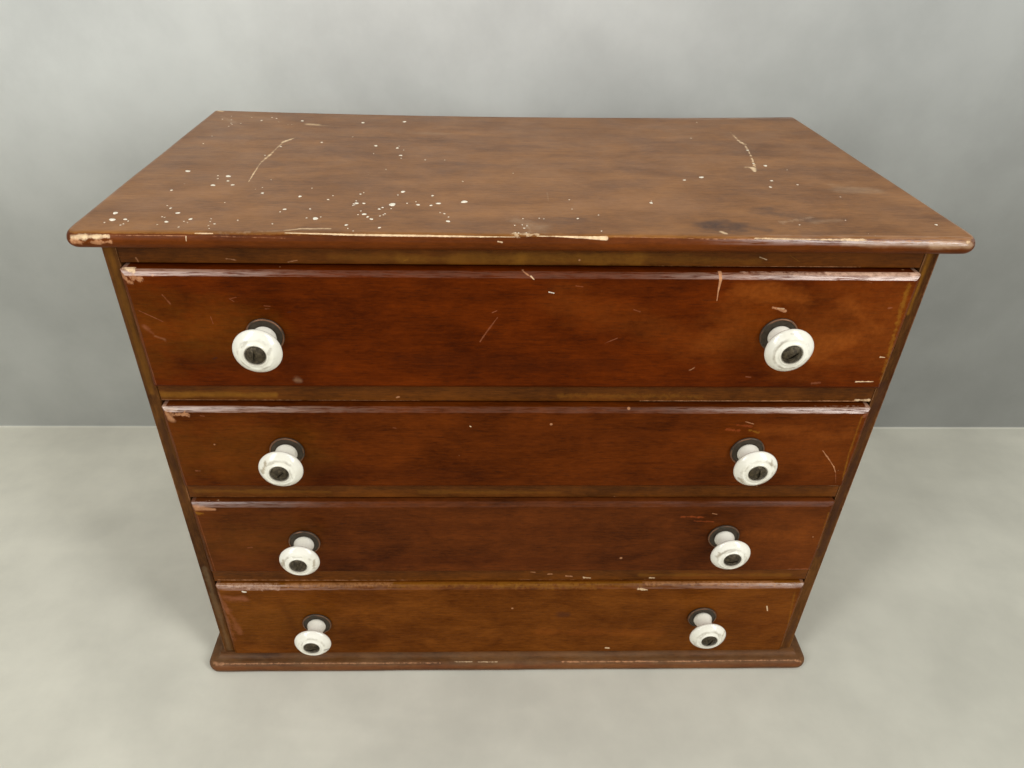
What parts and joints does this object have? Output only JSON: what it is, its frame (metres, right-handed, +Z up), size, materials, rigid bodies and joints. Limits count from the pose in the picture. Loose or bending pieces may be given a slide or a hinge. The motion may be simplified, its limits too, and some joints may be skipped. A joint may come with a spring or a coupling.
{
  "type": "haberdashery cabinet",
  "caption": "Table-top haberdashery cabinet of stained wood with full-width inset drawers, porcelain knobs, a rounded top board and a moulded base board.",
  "frame": {"origin": "middle of the carcass's depth and width, on the underside of the base board", "axes": "+X to the right seen from the front, +Y towards the back, +Z up; the drawers pull out along -Y"},
  "size_m": [0.592, 0.3394, 0.4575],
  "materials": {
    "top_wood": "worn satin varnish over brown stain",
    "carcass_wood": "aged varnish over golden brown stain",
    "front_wood": "aged glossy varnish over red mahogany stain",
    "inner_wood": "bare softwood, unfinished",
    "porcelain": "white glazed porcelain",
    "plate_metal": "dark tarnished brass with a rubbed rim",
    "bolt_metal": "dark oxidised steel"
  },
  "bodies": {
    "carcass": {"top_board": "top_wood", "base_board": "carcass_wood", "left_side": "carcass_wood", "right_side": "carcass_wood", "back_panel": "inner_wood", "top_rail": "carcass_wood", "divider_rail_1": "carcass_wood", "divider_rail_2": "carcass_wood", "divider_rail_3": "carcass_wood", "left_runner_1": "inner_wood", "left_runner_2": "inner_wood", "left_runner_3": "inner_wood", "right_runner_1": "inner_wood", "right_runner_2": "inner_wood", "right_runner_3": "inner_wood"},
    "drawer_1": {"drawer_1_front": "front_wood", "drawer_1_left_side": "inner_wood", "drawer_1_right_side": "inner_wood", "drawer_1_back": "inner_wood", "drawer_1_bottom": "inner_wood", "drawer_1_left_knob": "porcelain", "drawer_1_left_backplate": "plate_metal", "drawer_1_left_bolt": "bolt_metal", "drawer_1_right_knob": "porcelain", "drawer_1_right_backplate": "plate_metal", "drawer_1_right_bolt": "bolt_metal"},
    "drawer_2": {"drawer_2_front": "front_wood", "drawer_2_left_side": "inner_wood", "drawer_2_right_side": "inner_wood", "drawer_2_back": "inner_wood", "drawer_2_bottom": "inner_wood", "drawer_2_left_knob": "porcelain", "drawer_2_left_backplate": "plate_metal", "drawer_2_left_bolt": "bolt_metal", "drawer_2_right_knob": "porcelain", "drawer_2_right_backplate": "plate_metal", "drawer_2_right_bolt": "bolt_metal"},
    "drawer_3": {"drawer_3_front": "front_wood", "drawer_3_left_side": "inner_wood", "drawer_3_right_side": "inner_wood", "drawer_3_back": "inner_wood", "drawer_3_bottom": "inner_wood", "drawer_3_left_knob": "porcelain", "drawer_3_left_backplate": "plate_metal", "drawer_3_left_bolt": "bolt_metal", "drawer_3_right_knob": "porcelain", "drawer_3_right_backplate": "plate_metal", "drawer_3_right_bolt": "bolt_metal"},
    "drawer_4": {"drawer_4_front": "front_wood", "drawer_4_left_side": "inner_wood", "drawer_4_right_side": "inner_wood", "drawer_4_back": "inner_wood", "drawer_4_bottom": "inner_wood", "drawer_4_left_knob": "porcelain", "drawer_4_left_backplate": "plate_metal", "drawer_4_left_bolt": "bolt_metal", "drawer_4_right_knob": "porcelain", "drawer_4_right_backplate": "plate_metal", "drawer_4_right_bolt": "bolt_metal"}
  },
  "joints": [
    {"name": "drawer_1_slide", "type": "slide", "parent": "carcass", "child": "drawer_1", "axis": [0, -1, 0], "range_m": [0, 0.23]},
    {"name": "drawer_2_slide", "type": "slide", "parent": "carcass", "child": "drawer_2", "axis": [0, -1, 0], "range_m": [0, 0.23]},
    {"name": "drawer_3_slide", "type": "slide", "parent": "carcass", "child": "drawer_3", "axis": [0, -1, 0], "range_m": [0, 0.23]},
    {"name": "drawer_4_slide", "type": "slide", "parent": "carcass", "child": "drawer_4", "axis": [0, -1, 0], "range_m": [0, 0.23]}
  ]
}
